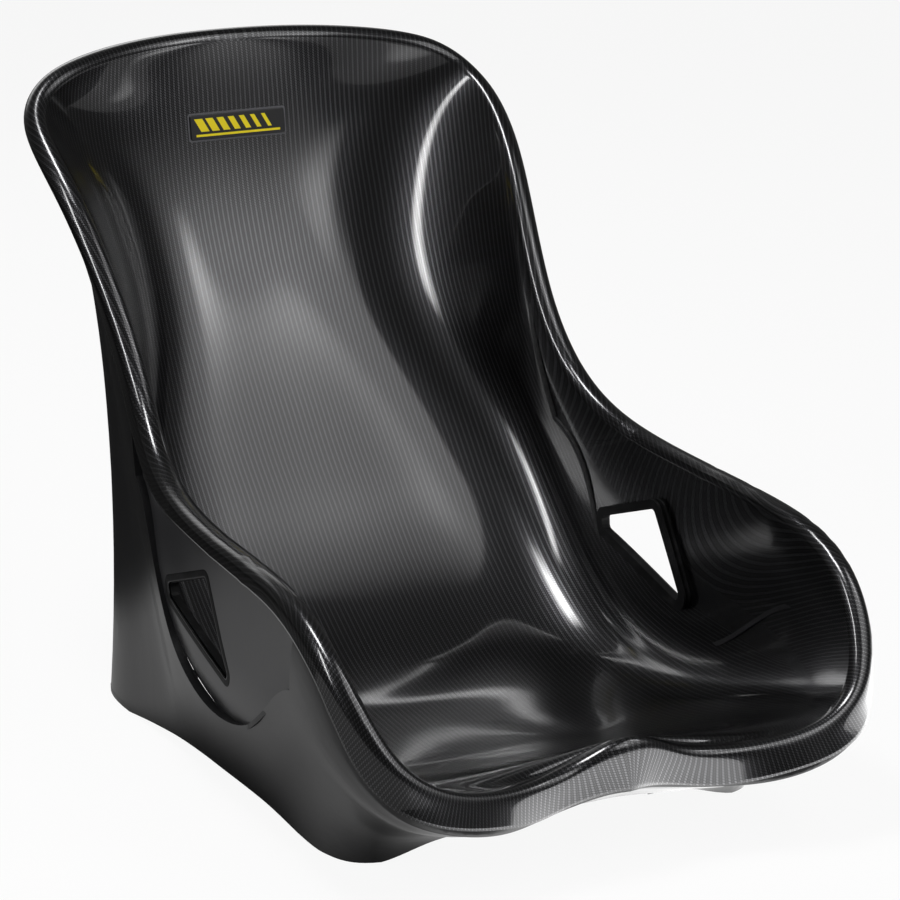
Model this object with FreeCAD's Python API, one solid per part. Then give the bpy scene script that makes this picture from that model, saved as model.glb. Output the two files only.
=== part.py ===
import FreeCAD, Part
import math
import os

# Racing bucket seat: a rolled-rim carbon inner shell bonded into a moulded outer shell that
# stands on four corner feet. Millimetres, +Z up, front towards -Y, the sitter's left is +X.
# Origin: under the middle of the overall outline, on the plane of the feet.

os.makedirs("parts", exist_ok=True)
V = FreeCAD.Vector

# ---- driving sizes -------------------------------------------------------------------------
width_scale = 1.0         # sideways stretch of the whole rim
frame_y = -60.3           # from the moulding's own Y zero to the part origin

shell_wall = 2.4          # carbon laminate
roll_width = 21.0         # across the rolled rim, skin to skin
roll_bulge = 0.62         # fullness of the roll
bond_gap = 1.6            # adhesive between the flange and the outer shell
bond_clear = 0.1          # left between the adhesive and the outer shell
outer_wall = 3.0          # outer moulding laminate
tuck_depth = 7.0          # outer shell reaches this far up inside the flange

base_half_width = 197.0   # foot ring, across
base_half_length = 262.0  # foot ring, fore and aft
base_mid_y = 70.0         # middle of the foot ring
base_power = 10.5         # squareness of the foot ring, and how much it drops to the rear
base_power_rear = 3.5
arch_side = 15.0          # air under the skirt between the feet, at the sides
arch_front = 36.0         # the same at the front
arch_rear = 16.0          # the same at the rear
foot_plate = 4.0          # moulded sole in each corner
foot_plate_margin = 34.0  # the sole reaches this far past the bolt
skirt_band = 32.0         # depth of the arches at the front and rear
skirt_side_band = 19.0    # the same at the sides

bolt_across = 320.0       # mounting pattern across
bolt_along = 410.0        # mounting pattern fore and aft
thread_size = 8.0         # M8
bolt_clearance = 9.0
plate_side = 40.0         # captive insert plate
plate_thick = 3.0
nut_flats = 13.0
nut_height = 8.0
pod_wall = 4.0            # return wall round the side recess
pod_reach = 70.0          # depth of the blocks that trim it

trim_flange = 7.0         # visible width of the slot trim
trim_thick = 1.8
trim_sleeve = 1.2
slot_round = 5.0

badge_width = 98.0
badge_height = 26.0
badge_plate_thick = 1.0
badge_dome_thick = 1.6
badge_border = 1.6

# rim line, top centre to lip centre: x, y, z of the inner start of the roll
rim_stations = [
    (0.0, 424.0, 556.0),        # top centre
    (95.0, 412.0, 552.5),       # top
    (169.1, 383.9, 541.2),      # shoulder corner
    (210.2, 354.6, 514.3),      # wing, widest
    (207.4, 282.5, 453.3),      # wing, lower
    (192.5, 203.7, 343.1),      # waist
    (200.7, 122.7, 258.8),      # waist to hip
    (214.8, 0.9, 231.1),        # hip, rear
    (219.9, -136.8, 223.1),     # hip, middle
    (223.3, -236.1, 194.0),     # hip, front
    (202.5, -293.9, 126.5),     # front corner
    (143.1, -299.1, 92.5),      # leg dip
    (62.6, -282.6, 90.8),       # towards the pommel
    (0.0, -283.6, 107.2),       # lip centre
]

# middle line of the bucket, top to lip: q, y, z (q runs 1 at the top edge to -1 at the lip)
spine_stations = [
    (1.00, 424.0, 556.0),
    (0.80, 414.0, 487.0),
    (0.60, 400.0, 418.0),
    (0.40, 366.0, 340.0),
    (0.20, 308.0, 257.0),
    (0.00, 234.0, 171.0),
    (-0.15, 170.0, 106.0),
    (-0.30, 92.0, 54.0),
    (-0.45, 5.0, 34.0),
    (-0.60, -88.0, 33.0),
    (-0.80, -205.0, 66.0),
    (-1.00, -283.6, 107.2),
]

# section law along q: blend from a power curve (0) to a steep super-ellipse wall (1), the power
section_stations = [
    (1.00, 0.00, 2.8),
    (0.75, 0.00, 3.0),
    (0.50, 0.05, 3.6),
    (0.30, 0.25, 4.2),
    (0.10, 0.70, 4.8),
    (-0.10, 0.93, 4.6),
    (-0.40, 0.96, 4.2),
    (-0.70, 0.75, 3.4),
    (-1.00, 0.00, 2.6),
]
wall_power = 6.0          # super-ellipse exponent of the hip walls

# flange follows the wing back (1) or hangs straight down (0), by rim station
flange_follow = [0.54, 0.57, 0.77, 0.98, 1.2, 0.7, 0.36, 0.09, 0.05, -0.2, 0.15, -0.5, 0.2, 0.0]

# straight flange below the roll, by rim station
flange_depths = [16.1, 16.2, 18.3, 20.6, 21.7, 17.4, 14.5, 5.8, 8.2, 9.6, 15.7, 14.9, 16.3, 27.4]

# outer wall, by rim station: height it rises straight from the feet, how far it leans out on
# the way, and how far it runs on from the flange
wall_rise = [150.0, 150.0, 190.0, 230.0, 250.0, 190.0, 90.0, 62.0, 60.0, 70.0, 50.0, 30.0, 24.0, 24.0]
wall_lean = [-6.0, -6.0, -18.0, -28.0, -8.0, 4.0, 16.0, 22.0, 24.0, 20.0, 12.0, 0.0, 0.0, 0.0]
wall_run = [110.0, 110.0, 110.0, 100.0, 70.0, 70.0, 65.0, 60.0, 60.0, 50.0, 30.0, 10.0, 6.0, 6.0]

# lower edge of the skirt between the feet: place along the side or across, and height
side_profile = [(-160.0, -1.0), (-140.0, 0.2), (-105.0, 0.3 * arch_side), (-60.0, 0.78 * arch_side),
                (0.0, arch_side), (80.0, 0.95 * arch_side), (150.0, 0.6 * arch_side),
                (215.0, 0.15 * arch_side), (240.0, -1.0)]
front_profile = [(-172.0, -1.5), (-155.0, 0.06 * arch_front), (-130.0, 0.3 * arch_front),
                 (-90.0, 0.72 * arch_front), (0.0, arch_front), (90.0, 0.72 * arch_front),
                 (130.0, 0.3 * arch_front), (155.0, 0.06 * arch_front), (172.0, -1.5)]
rear_profile = [(-140.0, -1.0), (-110.0, 0.25 * arch_rear), (-60.0, 0.85 * arch_rear),
                (0.0, arch_rear), (60.0, 0.85 * arch_rear), (110.0, 0.25 * arch_rear),
                (140.0, -1.0)]

# belt slot corners on the side wall: y, z
slot_corners = [(101.0, 159.0), (15.0, 188.0), (-33.0, 108.0), (99.0, 147.0)]

# lower edge of the side recess round the slot, rear to front: y, z
pod_edge = [(173.0, 233.0), (139.0, 204.0), (117.0, 156.0), (88.0, 105.0), (40.0, 79.0),
            (-18.0, 74.0), (-75.0, 90.0), (-116.0, 116.0), (-158.0, 144.0), (-185.0, 155.0)]

# ---- curves --------------------------------------------------------------------------------
half_count = len(rim_stations)


def closed_rim(rows):
    """Periodic curve through the stations and their mirror images."""
    right = [V(x * width_scale, y + frame_y, z) for x, y, z in rows]
    left = [V(-p.x, p.y, p.z) for p in right[-2:0:-1]]
    curve = Part.BSplineCurve()
    curve.interpolate(Points=right + left, PeriodicFlag=True,
                      Parameters=[float(k) for k in range(2 * half_count - 1)])
    return curve


def open_curve(rows):
    """Curve through rows of (parameter, a, b), parameters rising."""
    ordered = sorted(rows)
    curve = Part.BSplineCurve()
    curve.interpolate(Points=[V(0, r[1], r[2]) for r in ordered],
                      Parameters=[float(r[0]) for r in ordered])
    return curve


rim_curve = closed_rim(rim_stations)
spine_curve = open_curve([(q, y + frame_y, z) for q, y, z in spine_stations])
section_curve = open_curve(section_stations)
loop_span = 2.0 * (half_count - 1)


def rim_at(angle):
    """Rim point at a polar angle; 90 degrees is the top centre, going clockwise to the lip."""
    turn = (math.pi / 2 - angle) / (2 * math.pi)
    return rim_curve.value((turn % 1.0) * loop_span)


def station_value(values, angle):
    """Value at a polar angle from one value per rim station, mirrored left and right."""
    turn = ((math.pi / 2 - angle) / (2 * math.pi)) % 1.0
    place = min(turn, 1.0 - turn) * loop_span
    low = min(int(place), half_count - 2)
    part = place - low
    part = part * part * (3 - 2 * part)
    return values[low] * (1 - part) + values[low + 1] * part


def bucket(x, q):
    """Point of the bucket's front face over the unit disc."""
    q = max(-1.0, min(1.0, q))
    half = math.sqrt(max(0.0, 1.0 - q * q))
    spine = spine_curve.value(q)
    if half < 1e-6:
        return V(0, spine.y, spine.z)
    f = max(-1.0, min(1.0, x / half))
    edge = rim_at(math.asin(q))
    law = section_curve.value(q)
    blend = max(0.0, min(1.0, law.y))
    size = abs(f)
    steep = 1.0 - max(0.0, 1.0 - size ** wall_power) ** (1.0 / wall_power)
    rise = (1 - blend) * size ** law.z + blend * steep
    return V(edge.x * f, spine.y + rise * (edge.y - spine.y), spine.z + rise * (edge.z - spine.z))


def unit(v):
    return v * (1.0 / v.Length)


edge_step = 0.08


def rim_frame(angle):
    """Start point, outward, upward and flange directions of the roll."""
    start = bucket(math.cos(angle), math.sin(angle))
    inside = bucket((1 - edge_step) * math.cos(angle), (1 - edge_step) * math.sin(angle))
    rise = unit(start - inside)
    ahead = bucket(math.cos(angle + 0.01), math.sin(angle + 0.01))
    behind = bucket(math.cos(angle - 0.01), math.sin(angle - 0.01))
    along = unit(ahead - behind)
    rise = unit(rise - along * rise.dot(along))
    follow = station_value(flange_follow, angle)
    side = V(0.10 * math.cos(angle), 0.08 * math.sin(angle) + 0.05, -1.0)
    drop = unit(rise * -follow + side * (1 - follow))
    drop = unit(drop - along * drop.dot(along))
    crown = unit(rise - drop)
    out = unit(along.cross(crown))
    if out.dot(V(math.cos(angle), math.sin(angle), 0)) < 0:
        out = out * -1
    return start, rise, drop, out


def skin_point(s, angle):
    """Front face of the inner shell: s 0..1 bucket, 1..2 roll, 2..3 flange."""
    if s <= 1.0:
        return bucket(s * math.cos(angle), s * math.sin(angle))
    start, rise, drop, out = rim_frame(angle)
    turn = roll_width * roll_bulge
    end = start + out * roll_width
    if s <= 2.0:
        w = s - 1.0
        a = start + rise * turn
        b = end - drop * turn
        k = 1 - w
        return start * (k ** 3) + a * (3 * k * k * w) + b * (3 * k * w * w) + end * (w ** 3)
    return end + drop * (station_value(flange_depths, angle) * (s - 2.0))


def skin_normal(s, angle):
    """Unit normal pointing to the sitter's side."""
    h = 0.004
    if s < 0.2:
        x, q = s * math.cos(angle), s * math.sin(angle)
        du = bucket(x + h, q) - bucket(x - h, q)
        dv = bucket(x, q + h) - bucket(x, q - h)
        return unit(du.cross(dv))
    low = s - h
    high = s + h
    if s <= 1.0:
        high = min(high, 1.0)
    if s > 2.995:
        high = s
    ds = skin_point(high, angle) - skin_point(low, angle)
    da = skin_point(s, angle + h) - skin_point(s, angle - h)
    return unit(ds.cross(da))


# ---- smooth surfaces through rows ----------------------------------------------------------
columns = 48


def loop_surface(rows, places, pole):
    """Periodic cubic surface through rows[k][column]; a pole starts from one point."""
    nets = []
    for c in range(columns):
        line = [row[c] for row in rows]
        curve = Part.BSplineCurve()
        if pole:
            opposite = rows[1][(c + columns // 2) % columns]
            lead = (line[1] - opposite) * (0.5 / (places[1] - places[0]))
            last = (line[-1] - line[-2]) * (1.0 / (places[-1] - places[-2]))
            curve.interpolate(Points=line, Parameters=places, InitialTangent=lead,
                              FinalTangent=last, Scale=False)
        else:
            curve.interpolate(Points=line, Parameters=places)
        nets.append(curve.getPoles())
        knots, mults, degree = curve.getKnots(), curve.getMultiplicities(), curve.Degree
    smooth = []
    for c in range(columns):
        left, here, right = nets[c - 1], nets[c], nets[(c + 1) % columns]
        smooth.append([h - (a - h * 2 + b) * (1.0 / 6.0) for a, h, b in zip(left, here, right)])
    if pole:
        tip = nets[0][0]
        for line in smooth:
            line[0] = tip
    surface = Part.BSplineSurface()
    surface.buildFromPolesMultsKnots(smooth, [1] * (columns + 1), mults,
                                     [float(k) for k in range(columns + 1)], knots,
                                     True, False, 3, degree)
    return surface


def angles():
    return [math.pi / 2 - 2 * math.pi * k / columns for k in range(columns)]


def skin_rows(levels, offset):
    rows = []
    for s in levels:
        row = []
        for a in angles():
            p = skin_point(s, a)
            if offset:
                p = p - skin_normal(s, a) * offset
            row.append(p)
        if s == 0.0:
            row = [row[0]] * columns
        rows.append(row)
    return rows


def solid_from(faces):
    shell = Part.makeShell(faces)
    shell.sewShape()
    solid = Part.makeSolid(Part.Shell(shell.Faces) if shell.ShapeType != "Shell" else shell)
    if solid.Volume < 0:
        solid.reverse()
    return solid


def loop_solid(front, back, pole):
    """Closed solid between two loop surfaces with matching ends."""
    faces = [front.toShape(), back.toShape()]
    ends = [1] if pole else [0, 1]
    for end in ends:
        v = front.bounds()[3] if end else front.bounds()[2]
        w = back.bounds()[3] if end else back.bounds()[2]
        faces.append(Part.makeRuledSurface(front.vIso(v).toShape(), back.vIso(w).toShape()))
    return solid_from(faces)


levels = [0.0, 0.12, 0.26, 0.40, 0.53, 0.65, 0.75, 0.83, 0.90, 0.95, 1.0,
          1.25, 1.5, 1.75, 2.0, 2.35, 3.0]


def spread(rows):
    """Parameters by mean distance between rows."""
    out = [0.0]
    for a, b in zip(rows, rows[1:]):
        out.append(out[-1] + sum((p - q).Length for p, q in zip(a, b)) / len(a))
    return [k / out[-1] for k in out]


front_rows = skin_rows(levels, 0.0)
places = spread(front_rows)
front_skin = loop_surface(front_rows, places, True)
back_skin = loop_surface(skin_rows(levels, shell_wall), places, True)
inner_shell = loop_solid(front_skin, back_skin, True)

# ---- outer shell ---------------------------------------------------------------------------


def foot_ring(angle):
    """Foot ring: a super-ellipse in the plane of the feet."""
    c, s = math.cos(angle), math.sin(angle)
    power = base_power - base_power_rear * s
    r = (abs(c) ** power + abs(s) ** power) ** (-1.0 / power)
    return V(base_half_width * c * r, base_mid_y + frame_y + base_half_length * s * r, 0.0)


def tuck_point(angle, reach):
    """Outer face of the outer shell, inside the flange, reach above the flange edge."""
    s = 3.0 - reach / station_value(flange_depths, angle)
    return skin_point(s, angle) - skin_normal(min(s, 2.99), angle) * (shell_wall + bond_gap)


def outer_row(w, angle):
    """w 0 at the feet, 1 at the start of the tuck, 2 at the top edge."""
    foot = foot_ring(angle)
    if w >= 1.0:
        p = tuck_point(angle, tuck_depth * (w - 1.0))
    else:
        top = tuck_point(angle, 0.0)
        lead = unit(tuck_point(angle, 5.0) - top)
        away = unit(V(math.cos(angle), math.sin(angle), 0))
        low = foot + V(0, 0, station_value(wall_rise, angle))
        low = low + away * station_value(wall_lean, angle)
        high = top - lead * station_value(wall_run, angle)
        k = 1 - w
        p = foot * k ** 3 + low * (3 * k * k * w) + high * (3 * k * w * w) + top * w ** 3
    return p


def outer_normal(w, angle):
    h = 0.004
    low = max(0.0, w - h)
    high = min(2.0, w + h)
    dw = outer_row(high, angle) - outer_row(low, angle)
    da = outer_row(w, angle + h) - outer_row(w, angle - h)
    return unit(da.cross(dw))


outer_levels = [0.0, 0.14, 0.3, 0.46, 0.62, 0.78, 0.9, 1.0, 1.35, 1.7, 2.0]


def outer_rows(inset):
    rows = []
    for w in outer_levels:
        row = []
        for a in angles():
            p = outer_row(w, a)
            if inset:
                n = outer_normal(w, a)
                if w == 0.0:
                    n = unit(V(n.x, n.y, 0))
                p = p - n * inset
            row.append(p)
        rows.append(row)
    return rows


rows_out = outer_rows(0.0)
outer_places = spread(rows_out)
outer_face = loop_surface(rows_out, outer_places, False)
outer_back = loop_surface(outer_rows(outer_wall), outer_places, False)
outer_shell = loop_solid(outer_face, outer_back, False)


# ---- side recesses and belt slots ----------------------------------------------------------
reach_in = 120.0          # side cutters start at this x
pod_span = (0.14 * columns, 0.40 * columns)   # columns of the patches beside the recess
reach_out = 330.0


def side_prism(face, side):
    """Prism of a right-hand side outline, on either side of the seat."""
    prism = face.extrude(V(reach_out - reach_in, 0, 0))
    if side < 0:
        prism = prism.mirror(V(0, 0, 0), V(1, 0, 0))
    return prism


def round_polygon(corners, radius, grow):
    """Face of a rounded polygon in a plane x = reach_in, grown by grow."""
    points = [V(reach_in, y + frame_y, z) for y, z in corners]
    face = Part.Face(Part.makePolygon(points + points[:1]))
    face = face.makeOffset2D(grow - radius, 0, False, False, False)
    return face.makeOffset2D(radius, 0, False, False, False)


def pod_face(grow):
    """Face above the recess edge, open towards the rim."""
    points = [V(reach_in, y + frame_y, z) for y, z in pod_edge]
    curve = Part.BSplineCurve()
    curve.interpolate(Points=points)
    first, last = points[0], points[-1]
    top = V(reach_in, last.y - 40, 330)
    rear = V(reach_in, first.y + 30, 330)
    wire = Part.Wire([curve.toShape(), Part.makeLine(last, top), Part.makeLine(top, rear),
                      Part.makeLine(rear, first)])
    face = Part.Face(wire)
    if grow:
        face = face.makeOffset2D(grow, 0, False, False, False)
    return face


angle_span = (0.04 * columns, 0.48 * columns)   # columns kept in a right-hand side block


def side_block(near, far, rows_from, rows_to):
    """Solid between two loop surfaces over the right side."""
    def piece(surface):
        part = surface.copy()
        v = surface.bounds()
        part.segment(angle_span[0], angle_span[1], v[2] + (v[3] - v[2]) * rows_from,
                     v[2] + (v[3] - v[2]) * rows_to)
        return part
    one, two = piece(near), piece(far)
    faces = [one.toShape(), two.toShape()]
    u0, u1, v0, v1 = one.bounds()
    for u in (u0, u1):
        faces.append(Part.makeRuledSurface(one.uIso(u).toShape(), two.uIso(u).toShape()))
    for v in (v0, v1):
        faces.append(Part.makeRuledSurface(one.vIso(v).toShape(), two.vIso(v).toShape()))
    return solid_from(faces)


def loop_at(offset):
    return loop_surface(skin_rows(levels, offset), places, True)


def mirrored(shape, side):
    return shape if side > 0 else shape.mirror(V(0, 0, 0), V(1, 0, 0))


bond_skin = loop_at(shell_wall + bond_gap)
trim_front = loop_at(-trim_thick)
trim_back = loop_at(shell_wall + trim_thick)
row_low, row_high = places[5], places[11]

slot_face = round_polygon(slot_corners, slot_round, 0.0)
slot_inner = round_polygon(slot_corners, slot_round, -trim_sleeve)
slot_outer = round_polygon(slot_corners, slot_round + trim_flange, trim_flange)
hole = side_prism(slot_face, 1)
clear_hole = side_prism(slot_inner, 1)
trim_ring = side_prism(slot_outer, 1).cut(clear_hole)
front_flange = side_block(trim_front, front_skin, row_low, row_high).common(trim_ring)
sleeve = side_block(front_skin, back_skin, row_low, row_high).common(hole.cut(clear_hole))
back_flange = side_block(back_skin, trim_back, row_low, row_high).common(trim_ring)
trim_inner = front_flange.fuse(sleeve).removeSplitter()

pod_cut = side_prism(pod_face(0.0), 1).toNurbs()
pod_ring = side_prism(pod_face(pod_wall), 1).cut(side_prism(pod_face(-2.0), 1)).toNurbs()


def side_patch(surface, rows_from, rows_to, reach):
    """Block swept sideways from the right-hand patch of a loop surface."""
    patch = surface.copy()
    low, high = surface.bounds()[2:4]
    patch.segment(pod_span[0], pod_span[1], low + (high - low) * rows_from,
                  low + (high - low) * rows_to)
    block = patch.toShape().extrude(V(reach, 0, 0))
    return block


inside_skin = loop_surface(outer_rows(1.0), outer_places, False)
pod_web = pod_ring.common(side_patch(inside_skin, 0.02, 0.98, -pod_reach))
pod_web = pod_web.common(side_patch(bond_skin, places[4], places[10], pod_reach))
bond_far = loop_at(shell_wall + bond_gap - bond_clear)
pod_bond = side_block(back_skin, bond_far, places[4], places[10]).common(pod_ring.cut(pod_cut))
parts = {}
for side, name in ((1, "left"), (-1, "right")):
    inner_shell = inner_shell.cut(mirrored(hole, side))
    outer_shell = outer_shell.fuse(mirrored(pod_web, side)).cut(mirrored(pod_cut, side))
    parts["pod_bond_" + name] = mirrored(pod_bond, side)
    parts["slot_trim_inner_" + name] = mirrored(trim_inner, side)
    parts["slot_trim_outer_" + name] = mirrored(back_flange, side)
parts["inner_shell"] = inner_shell
parts["outer_shell"] = outer_shell


# ---- feet ----------------------------------------------------------------------------------
def base_prism(height):
    """Slab inside the outline of the foot ring, from the ground up."""
    ring = outer_face.vIso(outer_face.bounds()[2]).toShape()
    return Part.Face(Part.Wire([ring])).extrude(V(0, 0, height))


def arch_cutter(profile, depth):
    """Low smooth tunnel along +X from x = 0; the profile is rows of (place along Y, height)."""
    crown = Part.BSplineCurve()
    crown.interpolate(Points=[V(0, place, height) for place, height in profile])
    first, last = crown.StartPoint, crown.EndPoint
    low = V(0, 0, -5)
    wire = Part.Wire([crown.toShape(), Part.makeLine(last, last + low),
                      Part.makeLine(last + low, first + low), Part.makeLine(first + low, first)])
    return Part.Face(wire).extrude(V(depth, 0, 0)).toNurbs()


def end_arch(profile, face_y, towards):
    """Tunnel through the front (-1) or rear (+1) skirt, skirt_band deep inside the face."""
    prism = arch_cutter(profile, 4 * skirt_band)
    prism.rotate(V(0, 0, 0), V(0, 0, 1), 90 * towards)
    prism.translate(V(0, frame_y + face_y - towards * skirt_band, 0))
    return prism


bolts = [("front_left", 1, -1), ("front_right", -1, -1),
         ("rear_left", 1, 1), ("rear_right", -1, 1)]
side_arch = arch_cutter(side_profile, 4 * skirt_band)
side_arch.translate(V(base_half_width - skirt_side_band, frame_y, 0))
arches = [side_arch, mirrored(side_arch, -1),
          end_arch(front_profile, base_mid_y - base_half_length, -1),
          end_arch(rear_profile, base_mid_y + base_half_length, 1)]
outer_shell = parts["outer_shell"]
slab = base_prism(foot_plate)
for name, sx, sy in bolts:
    bolt = V(sx * bolt_across / 2, base_mid_y + frame_y + sy * bolt_along / 2, 0)
    corner = V(sx * base_half_width, base_mid_y + frame_y + sy * base_half_length, 0)
    reach = (corner - bolt).Length + foot_plate_margin
    sole = slab.common(Part.makeCylinder(reach, foot_plate, corner))
    outer_shell = outer_shell.fuse(sole)
for arch in arches:
    outer_shell = outer_shell.cut(arch)
for name, sx, sy in bolts:
    bolt = V(sx * bolt_across / 2, base_mid_y + frame_y + sy * bolt_along / 2, 0)
    outer_shell = outer_shell.cut(Part.makeCylinder(bolt_clearance / 2, 3 * foot_plate,
                                                    bolt - V(0, 0, foot_plate)))
    plate = Part.makeBox(plate_side, plate_side, plate_thick,
                         V(-plate_side / 2, -plate_side / 2, 0))
    plate = plate.makeFillet(6.0, [e for e in plate.Edges
                                   if abs(e.CenterOfMass.z - plate_thick / 2) < 0.01])
    plate = plate.cut(Part.makeCylinder(bolt_clearance / 2, plate_thick))
    plate.translate(bolt + V(0, 0, foot_plate))
    points = [V(math.cos(math.radians(60 * k + 30)), math.sin(math.radians(60 * k + 30)), 0)
              * (nut_flats / math.sqrt(3)) for k in range(7)]
    nut = Part.Face(Part.makePolygon(points)).extrude(V(0, 0, nut_height))
    nut = nut.cut(Part.makeCylinder(thread_size / 2, nut_height))
    collar = Part.makeCylinder(nut_flats * 0.62, 1.4).cut(Part.makeCylinder(thread_size / 2, 1.4))
    nut = nut.fuse(collar).removeSplitter()
    nut.translate(bolt + V(0, 0, foot_plate + plate_thick))
    parts["insert_plate_" + name] = plate
    parts["captive_nut_" + name] = nut
parts["outer_shell"] = outer_shell.removeSplitter()

# ---- adhesive ------------------------------------------------------------------------------
depth_row = places[-2] + (places[-1] - places[-2]) * 0.55
edge_row = places[-2] + (places[-1] - places[-2]) * 0.93
u0, u1, v0, v1 = back_skin.bounds()
bond_faces = [back_skin.toShape(u0, u1, depth_row, edge_row),
              bond_far.toShape(u0, u1, depth_row, edge_row)]
for row in (depth_row, edge_row):
    bond_faces.append(Part.makeRuledSurface(back_skin.vIso(row).toShape(),
                                            bond_far.vIso(row).toShape()))
rim_bond = solid_from(bond_faces)
for side in (1, -1):
    rim_bond = rim_bond.cut(mirrored(pod_cut, side))
parts["rim_bond"] = rim_bond

# ---- badge place ---------------------------------------------------------------------------
badge_q = 0.778
spot = bucket(0, badge_q)
tilt = unit(bucket(0, badge_q + 0.03) - bucket(0, badge_q - 0.03))
face_out = unit(V(1, 0, 0).cross(tilt))
place = FreeCAD.Placement(FreeCAD.Matrix(1, tilt.x, face_out.x, spot.x,
                                         0, tilt.y, face_out.y, spot.y,
                                         0, tilt.z, face_out.z, spot.z, 0, 0, 0, 1))


def badge_slab(width, height, radius, low, thick):
    slab_box = Part.makeBox(width, height, thick, V(-width / 2, -height / 2, low))
    sides = [e for e in slab_box.Edges if abs(e.CenterOfMass.z - low - thick / 2) < 0.01]
    return slab_box.makeFillet(radius, sides)


plate = badge_slab(badge_width, badge_height, 2.5, -3.0, 3.0 + badge_plate_thick)
dome = badge_slab(badge_width - 2 * badge_border, badge_height - 2 * badge_border, 2.0,
                  badge_plate_thick, badge_dome_thick)
dome = dome.makeFillet(1.0, [e for e in dome.Edges
                             if e.CenterOfMass.z > badge_plate_thick + badge_dome_thick - 0.01])
plate = plate.transformGeometry(place.toMatrix())
dome = dome.transformGeometry(place.toMatrix())
plate = plate.cut(inner_shell)
plate = max(plate.Solids, key=lambda k: k.CenterOfMass.dot(face_out))
parts["badge_plate"] = plate
parts["badge_dome"] = dome

for name, shape in sorted(parts.items()):
    solids = shape.Solids
    print(name, len(solids), shape.isValid(), [round(k.Volume, 1) for k in solids][:4])
    shape.exportStep("parts/" + name + ".step")
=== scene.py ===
import bpy
import bmesh
import math
import numpy as np
from mathutils import Matrix, Vector


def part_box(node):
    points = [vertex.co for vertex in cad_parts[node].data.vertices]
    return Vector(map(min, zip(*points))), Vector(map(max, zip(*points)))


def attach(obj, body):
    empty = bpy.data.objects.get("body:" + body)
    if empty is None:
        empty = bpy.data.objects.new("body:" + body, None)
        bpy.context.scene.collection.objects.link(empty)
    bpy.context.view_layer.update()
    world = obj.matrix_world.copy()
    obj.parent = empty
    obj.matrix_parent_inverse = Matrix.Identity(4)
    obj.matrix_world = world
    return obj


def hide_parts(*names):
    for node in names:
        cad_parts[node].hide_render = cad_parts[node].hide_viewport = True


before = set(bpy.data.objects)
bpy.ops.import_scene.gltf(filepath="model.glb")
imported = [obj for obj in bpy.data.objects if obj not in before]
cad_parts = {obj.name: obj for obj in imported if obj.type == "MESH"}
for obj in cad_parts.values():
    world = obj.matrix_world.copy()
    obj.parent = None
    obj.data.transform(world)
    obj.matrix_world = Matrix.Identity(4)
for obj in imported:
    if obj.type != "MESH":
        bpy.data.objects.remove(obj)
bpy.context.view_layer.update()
mm = 0.001
print("stage: frame loaded")


class Value:
    # one socket of a node tree; the operators add Math nodes
    def __init__(self, tree, socket):
        self.tree = tree
        self.socket = socket

    # any node: its type, its settings first, then values or links for its sockets
    def node(self, kind, settings=None, inputs=None, out=0):
        made = self.tree.nodes.new(kind)
        for key, value in (settings or {}).items():
            setattr(made, key, value)
        for key, value in (inputs or {}).items():
            feed(self.tree, made.inputs[key], value)
        return Value(self.tree, made.outputs[out])

    def maths(self, operation, *values):
        return self.node("ShaderNodeMath", {"operation": operation}, dict(enumerate(values)))

    def __add__(self, other):
        return self.maths("ADD", self, other)

    def __radd__(self, other):
        return self.maths("ADD", other, self)

    def __sub__(self, other):
        return self.maths("SUBTRACT", self, other)

    def __rsub__(self, other):
        return self.maths("SUBTRACT", other, self)

    def __mul__(self, other):
        return self.maths("MULTIPLY", self, other)

    def __rmul__(self, other):
        return self.maths("MULTIPLY", other, self)

    def __truediv__(self, other):
        return self.maths("DIVIDE", self, other)

    def __gt__(self, other):
        return self.maths("GREATER_THAN", self, other)

    def __lt__(self, other):
        return self.maths("LESS_THAN", self, other)

    def floor(self):
        return self.maths("FLOOR", self)

    def fract(self):
        return self.maths("FRACT", self)

    def sine(self):
        return self.maths("SINE", self)

    def size(self):
        return self.maths("ABSOLUTE", self)

    def smoothStep(self, low, high):
        return self.node("ShaderNodeMapRange", {"interpolation_type": "SMOOTHSTEP"},
                         {"Value": self, "From Min": low, "From Max": high})

    # colour between two, by this value
    def blend(self, first, second):
        return self.node("ShaderNodeMix", {"data_type": "RGBA"}, {0: self, 6: first, 7: second}, out=2)


# a number, a colour or a link into one socket
def feed(tree, socket, value):
    if isinstance(value, Value):
        tree.links.new(value.socket, socket)
    elif isinstance(value, (tuple, list)) and len(value) == 3 and socket.type == "RGBA":
        socket.default_value = (*value, 1.0)
    else:
        socket.default_value = value


# a material with one Principled shader; its constants go on the shader's own sockets
def newFinish(name, constants):
    material = bpy.data.materials.new(name)
    material.use_nodes = True
    tree = material.node_tree
    shader = tree.nodes["Principled BSDF"]
    for key, value in constants.items():
        feed(tree, shader.inputs[key], value)
    start = Value(tree, None)
    return material, start, shader


# object coordinates as three values
def places(start):
    spot = start.node("ShaderNodeTexCoord", out=3)
    apart = start.node("ShaderNodeSeparateXYZ", None, {0: spot})
    holder = apart.socket.node
    return (spot, *(Value(start.tree, holder.outputs[k]) for k in range(3)))


# a height map into the Normal socket, through one Bump node
def bumpInto(start, shader, height, strength, distance):
    lift = start.node("ShaderNodeBump", None, {"Strength": strength, "Distance": distance, "Height": height})
    feed(start.tree, shader.inputs["Normal"], lift)


weave = {
    "towWidth": 1.65 * mm,
    # painted sheen: warp and weft are one cloth; the warp tone is the lit copy, the weft tone the shaded
    # copy
    "warpLitTone": (0.088, 0.088, 0.093),
    "weftShadedTone": (0.034, 0.034, 0.036),
    # painted shade down in the gaps between tows
    "gapShadeTone": (0.002, 0.002, 0.0024),
    "metallic": 0.97,
    "roughness": 0.27,
    "bump": 0.35,
    "wander": 3.0 * mm,     # how far a tow strays sideways
    "sideShare": 0.45,      # share of the hump across a tow; the rest runs along its float
}


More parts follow.
